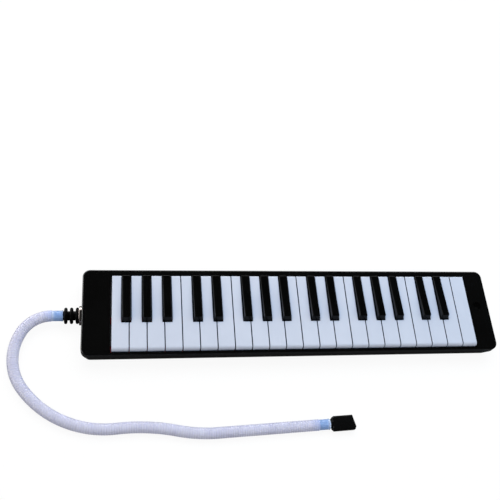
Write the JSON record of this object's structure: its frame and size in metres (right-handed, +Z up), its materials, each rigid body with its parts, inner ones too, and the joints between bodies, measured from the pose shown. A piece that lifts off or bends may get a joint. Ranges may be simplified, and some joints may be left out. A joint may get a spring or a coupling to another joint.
{
  "type": "melodica",
  "caption": "Free-reed keyboard wind instrument: flat case with hinged piano keys, and a corrugated blowing hose with a flat mouthpiece.",
  "frame": {"origin": "centre of the flat underside of the case", "axes": "+X along the keyboard from low to high notes, +Y to the back of the instrument, +Z up out of the keys"},
  "size_m": [0.5666, 0.1921, 0.0399],
  "materials": {
    "case_black": "moulded black ABS, satin sheen",
    "key_white": "polished white plastic",
    "key_black": "semi-gloss black plastic",
    "chamber_plastic": "moulded grey plastic",
    "gasket_foam": "closed-cell foam",
    "reed_alloy": "rolled sheet",
    "reed_brass": "phosphor bronze tongues",
    "steel": "zinc-plated or spring steel",
    "felt": "pressed wool felt",
    "ring_chrome": "chrome plated",
    "plug_rubber": "black rubber",
    "hose_vinyl": "translucent corrugated vinyl",
    "cuff_vinyl": "translucent blue vinyl",
    "mouth_plastic": "moulded black plastic",
    "button_black": "moulded black plastic"
  },
  "bodies": {
    "case": {"top_case": "case_black", "bottom_case": "case_black", "screws": "steel", "reed_chamber": "chamber_plastic", "chamber_lid": "chamber_plastic", "chamber_gasket": "gasket_foam", "reed_plate": "reed_alloy", "reeds": "reed_brass", "pivot_rod": "steel", "spring_comb": "steel", "key_stop_felt": "felt", "blow_socket": "chamber_plastic", "socket_ring": "ring_chrome", "drain_spring": "steel"},
    "hose_plug": {"hose_plug": "plug_rubber"},
    "hose_near": {"cuff_near": "cuff_vinyl", "hose_near": "hose_vinyl", "hose_flex": "hose_vinyl"},
    "hose_far": {"hose_far": "hose_vinyl", "cuff_far": "cuff_vinyl"},
    "mouthpiece": {"mouthpiece": "mouth_plastic"},
    "drain_button": {"drain_button": "button_black", "drain_seal": "plug_rubber"},
    "key_f3": {"key_f3": "key_white"},
    "key_fs3": {"key_fs3": "key_black"},
    "key_g3": {"key_g3": "key_white"},
    "key_gs3": {"key_gs3": "key_black"},
    "key_a3": {"key_a3": "key_white"},
    "key_as3": {"key_as3": "key_black"},
    "key_b3": {"key_b3": "key_white"},
    "key_c4": {"key_c4": "key_white"},
    "key_cs4": {"key_cs4": "key_black"},
    "key_d4": {"key_d4": "key_white"},
    "key_ds4": {"key_ds4": "key_black"},
    "key_e4": {"key_e4": "key_white"},
    "key_f4": {"key_f4": "key_white"},
    "key_fs4": {"key_fs4": "key_black"},
    "key_g4": {"key_g4": "key_white"},
    "key_gs4": {"key_gs4": "key_black"},
    "key_a4": {"key_a4": "key_white"},
    "key_as4": {"key_as4": "key_black"},
    "key_b4": {"key_b4": "key_white"},
    "key_c5": {"key_c5": "key_white"},
    "key_cs5": {"key_cs5": "key_black"},
    "key_d5": {"key_d5": "key_white"},
    "key_ds5": {"key_ds5": "key_black"},
    "key_e5": {"key_e5": "key_white"},
    "key_f5": {"key_f5": "key_white"},
    "key_fs5": {"key_fs5": "key_black"},
    "key_g5": {"key_g5": "key_white"},
    "key_gs5": {"key_gs5": "key_black"},
    "key_a5": {"key_a5": "key_white"},
    "key_as5": {"key_as5": "key_black"},
    "key_b5": {"key_b5": "key_white"},
    "key_c6": {"key_c6": "key_white"},
    "key_cs6": {"key_cs6": "key_black"},
    "key_d6": {"key_d6": "key_white"},
    "key_ds6": {"key_ds6": "key_black"},
    "key_e6": {"key_e6": "key_white"},
    "key_f6": {"key_f6": "key_white"}
  },
  "joints": [
    {"name": "plug_pull", "type": "slide", "parent": "case", "child": "hose_plug", "axis": [-1, 0, 0], "range_m": [0, 0.024]},
    {"name": "hose_swivel", "type": "hinge", "parent": "hose_plug", "child": "hose_near", "pos_m": [-0.2647, 0, 0.0135], "axis": [-1, 0, 0], "range_deg": [0, 180]},
    {"name": "hose_bend", "type": "hinge", "parent": "hose_near", "child": "hose_far", "pos_m": [-0.1726, -0.126, 0.00679], "axis": [-0.068, -0.9963, -0.0531], "range_deg": [0, 60], "stiffness_Nm_per_rad": 0.02, "deforming": ["hose_flex"]},
    {"name": "mouthpiece_turn", "type": "hinge", "parent": "hose_far", "child": "mouthpiece", "pos_m": [0.02964, -0.12946, 0.0066], "axis": [0.9992, 0.0401, 0.0021], "range_deg": [-60, 60]},
    {"name": "drain_press", "type": "slide", "parent": "case", "child": "drain_button", "axis": [0, 0, -1], "range_m": [0, 0.0025], "stiffness_N_per_m": 600, "springref_m": -0.002, "deforming": ["drain_spring"]},
    {"name": "press_f3", "type": "hinge", "parent": "case", "child": "key_f3", "pos_m": [-0.20622, 0.0449, 0.0215], "axis": [1, 0, 0], "range_deg": [0, 2.8], "stiffness_Nm_per_rad": 0.3, "springref_deg": -8.02, "deforming": ["spring_comb"]},
    {"name": "press_fs3", "type": "hinge", "parent": "case", "child": "key_fs3", "pos_m": [-0.1955, 0.0449, 0.0215], "axis": [1, 0, 0], "range_deg": [0, 2.8], "stiffness_Nm_per_rad": 0.3, "springref_deg": -8.02},
    {"name": "press_g3", "type": "hinge", "parent": "case", "child": "key_g3", "pos_m": [-0.1842, 0.0449, 0.0215], "axis": [1, 0, 0], "range_deg": [0, 2.8], "stiffness_Nm_per_rad": 0.3, "springref_deg": -8.02},
    {"name": "press_gs3", "type": "hinge", "parent": "case", "child": "key_gs3", "pos_m": [-0.1729, 0.0449, 0.0215], "axis": [1, 0, 0], "range_deg": [0, 2.8], "stiffness_Nm_per_rad": 0.3, "springref_deg": -8.02},
    {"name": "press_a3", "type": "hinge", "parent": "case", "child": "key_a3", "pos_m": [-0.16155, 0.0449, 0.0215], "axis": [1, 0, 0], "range_deg": [0, 2.8], "stiffness_Nm_per_rad": 0.3, "springref_deg": -8.02},
    {"name": "press_as3", "type": "hinge", "parent": "case", "child": "key_as3", "pos_m": [-0.1502, 0.0449, 0.0215], "axis": [1, 0, 0], "range_deg": [0, 2.8], "stiffness_Nm_per_rad": 0.3, "springref_deg": -8.02},
    {"name": "press_b3", "type": "hinge", "parent": "case", "child": "key_b3", "pos_m": [-0.13953, 0.0449, 0.0215], "axis": [1, 0, 0], "range_deg": [0, 2.8], "stiffness_Nm_per_rad": 0.3, "springref_deg": -8.02},
    {"name": "press_c4", "type": "hinge", "parent": "case", "child": "key_c4", "pos_m": [-0.12755, 0.0449, 0.0215], "axis": [1, 0, 0], "range_deg": [0, 2.8], "stiffness_Nm_per_rad": 0.3, "springref_deg": -8.02},
    {"name": "press_cs4", "type": "hinge", "parent": "case", "child": "key_cs4", "pos_m": [-0.11615, 0.0449, 0.0215], "axis": [1, 0, 0], "range_deg": [0, 2.8], "stiffness_Nm_per_rad": 0.3, "springref_deg": -8.02},
    {"name": "press_d4", "type": "hinge", "parent": "case", "child": "key_d4", "pos_m": [-0.10462, 0.0449, 0.0215], "axis": [1, 0, 0], "range_deg": [0, 2.8], "stiffness_Nm_per_rad": 0.3, "springref_deg": -8.02},
    {"name": "press_ds4", "type": "hinge", "parent": "case", "child": "key_ds4", "pos_m": [-0.0931, 0.0449, 0.0215], "axis": [1, 0, 0], "range_deg": [0, 2.8], "stiffness_Nm_per_rad": 0.3, "springref_deg": -8.02},
    {"name": "press_e4", "type": "hinge", "parent": "case", "child": "key_e4", "pos_m": [-0.08173, 0.0449, 0.0215], "axis": [1, 0, 0], "range_deg": [0, 2.8], "stiffness_Nm_per_rad": 0.3, "springref_deg": -8.02},
    {"name": "press_f4", "type": "hinge", "parent": "case", "child": "key_f4", "pos_m": [-0.06972, 0.0449, 0.0215], "axis": [1, 0, 0], "range_deg": [0, 2.8], "stiffness_Nm_per_rad": 0.3, "springref_deg": -8.02},
    {"name": "press_fs4", "type": "hinge", "parent": "case", "child": "key_fs4", "pos_m": [-0.059, 0.0449, 0.0215], "axis": [1, 0, 0], "range_deg": [0, 2.8], "stiffness_Nm_per_rad": 0.3, "springref_deg": -8.02},
    {"name": "press_g4", "type": "hinge", "parent": "case", "child": "key_g4", "pos_m": [-0.0477, 0.0449, 0.0215], "axis": [1, 0, 0], "range_deg": [0, 2.8], "stiffness_Nm_per_rad": 0.3, "springref_deg": -8.02},
    {"name": "press_gs4", "type": "hinge", "parent": "case", "child": "key_gs4", "pos_m": [-0.0364, 0.0449, 0.0215], "axis": [1, 0, 0], "range_deg": [0, 2.8], "stiffness_Nm_per_rad": 0.3, "springref_deg": -8.02},
    {"name": "press_a4", "type": "hinge", "parent": "case", "child": "key_a4", "pos_m": [-0.02505, 0.0449, 0.0215], "axis": [1, 0, 0], "range_deg": [0, 2.8], "stiffness_Nm_per_rad": 0.3, "springref_deg": -8.02},
    {"name": "press_as4", "type": "hinge", "parent": "case", "child": "key_as4", "pos_m": [-0.0137, 0.0449, 0.0215], "axis": [1, 0, 0], "range_deg": [0, 2.8], "stiffness_Nm_per_rad": 0.3, "springref_deg": -8.02},
    {"name": "press_b4", "type": "hinge", "parent": "case", "child": "key_b4", "pos_m": [-0.00302, 0.0449, 0.0215], "axis": [1, 0, 0], "range_deg": [0, 2.8], "stiffness_Nm_per_rad": 0.3, "springref_deg": -8.02},
    {"name": "press_c5", "type": "hinge", "parent": "case", "child": "key_c5", "pos_m": [0.00895, 0.0449, 0.0215], "axis": [1, 0, 0], "range_deg": [0, 2.8], "stiffness_Nm_per_rad": 0.3, "springref_deg": -8.02},
    {"name": "press_cs5", "type": "hinge", "parent": "case", "child": "key_cs5", "pos_m": [0.02035, 0.0449, 0.0215], "axis": [1, 0, 0], "range_deg": [0, 2.8], "stiffness_Nm_per_rad": 0.3, "springref_deg": -8.02},
    {"name": "press_d5", "type": "hinge", "parent": "case", "child": "key_d5", "pos_m": [0.03188, 0.0449, 0.0215], "axis": [1, 0, 0], "range_deg": [0, 2.8], "stiffness_Nm_per_rad": 0.3, "springref_deg": -8.02},
    {"name": "press_ds5", "type": "hinge", "parent": "case", "child": "key_ds5", "pos_m": [0.0434, 0.0449, 0.0215], "axis": [1, 0, 0], "range_deg": [0, 2.8], "stiffness_Nm_per_rad": 0.3, "springref_deg": -8.02},
    {"name": "press_e5", "type": "hinge", "parent": "case", "child": "key_e5", "pos_m": [0.05477, 0.0449, 0.0215], "axis": [1, 0, 0], "range_deg": [0, 2.8], "stiffness_Nm_per_rad": 0.3, "springref_deg": -8.02},
    {"name": "press_f5", "type": "hinge", "parent": "case", "child": "key_f5", "pos_m": [0.06678, 0.0449, 0.0215], "axis": [1, 0, 0], "range_deg": [0, 2.8], "stiffness_Nm_per_rad": 0.3, "springref_deg": -8.02},
    {"name": "press_fs5", "type": "hinge", "parent": "case", "child": "key_fs5", "pos_m": [0.0775, 0.0449, 0.0215], "axis": [1, 0, 0], "range_deg": [0, 2.8], "stiffness_Nm_per_rad": 0.3, "springref_deg": -8.02},
    {"name": "press_g5", "type": "hinge", "parent": "case", "child": "key_g5", "pos_m": [0.0888, 0.0449, 0.0215], "axis": [1, 0, 0], "range_deg": [0, 2.8], "stiffness_Nm_per_rad": 0.3, "springref_deg": -8.02},
    {"name": "press_gs5", "type": "hinge", "parent": "case", "child": "key_gs5", "pos_m": [0.1001, 0.0449, 0.0215], "axis": [1, 0, 0], "range_deg": [0, 2.8], "stiffness_Nm_per_rad": 0.3, "springref_deg": -8.02},
    {"name": "press_a5", "type": "hinge", "parent": "case", "child": "key_a5", "pos_m": [0.11145, 0.0449, 0.0215], "axis": [1, 0, 0], "range_deg": [0, 2.8], "stiffness_Nm_per_rad": 0.3, "springref_deg": -8.02},
    {"name": "press_as5", "type": "hinge", "parent": "case", "child": "key_as5", "pos_m": [0.1228, 0.0449, 0.0215], "axis": [1, 0, 0], "range_deg": [0, 2.8], "stiffness_Nm_per_rad": 0.3, "springref_deg": -8.02},
    {"name": "press_b5", "type": "hinge", "parent": "case", "child": "key_b5", "pos_m": [0.13348, 0.0449, 0.0215], "axis": [1, 0, 0], "range_deg": [0, 2.8], "stiffness_Nm_per_rad": 0.3, "springref_deg": -8.02},
    {"name": "press_c6", "type": "hinge", "parent": "case", "child": "key_c6", "pos_m": [0.14545, 0.0449, 0.0215], "axis": [1, 0, 0], "range_deg": [0, 2.8], "stiffness_Nm_per_rad": 0.3, "springref_deg": -8.02},
    {"name": "press_cs6", "type": "hinge", "parent": "case", "child": "key_cs6", "pos_m": [0.15685, 0.0449, 0.0215], "axis": [1, 0, 0], "range_deg": [0, 2.8], "stiffness_Nm_per_rad": 0.3, "springref_deg": -8.02},
    {"name": "press_d6", "type": "hinge", "parent": "case", "child": "key_d6", "pos_m": [0.16837, 0.0449, 0.0215], "axis": [1, 0, 0], "range_deg": [0, 2.8], "stiffness_Nm_per_rad": 0.3, "springref_deg": -8.02},
    {"name": "press_ds6", "type": "hinge", "parent": "case", "child": "key_ds6", "pos_m": [0.1799, 0.0449, 0.0215], "axis": [1, 0, 0], "range_deg": [0, 2.8], "stiffness_Nm_per_rad": 0.3, "springref_deg": -8.02},
    {"name": "press_e6", "type": "hinge", "parent": "case", "child": "key_e6", "pos_m": [0.19128, 0.0449, 0.0215], "axis": [1, 0, 0], "range_deg": [0, 2.8], "stiffness_Nm_per_rad": 0.3, "springref_deg": -8.02},
    {"name": "press_f6", "type": "hinge", "parent": "case", "child": "key_f6", "pos_m": [0.20328, 0.0449, 0.0215], "axis": [1, 0, 0], "range_deg": [0, 2.8], "stiffness_Nm_per_rad": 0.3, "springref_deg": -8.02}
  ]
}
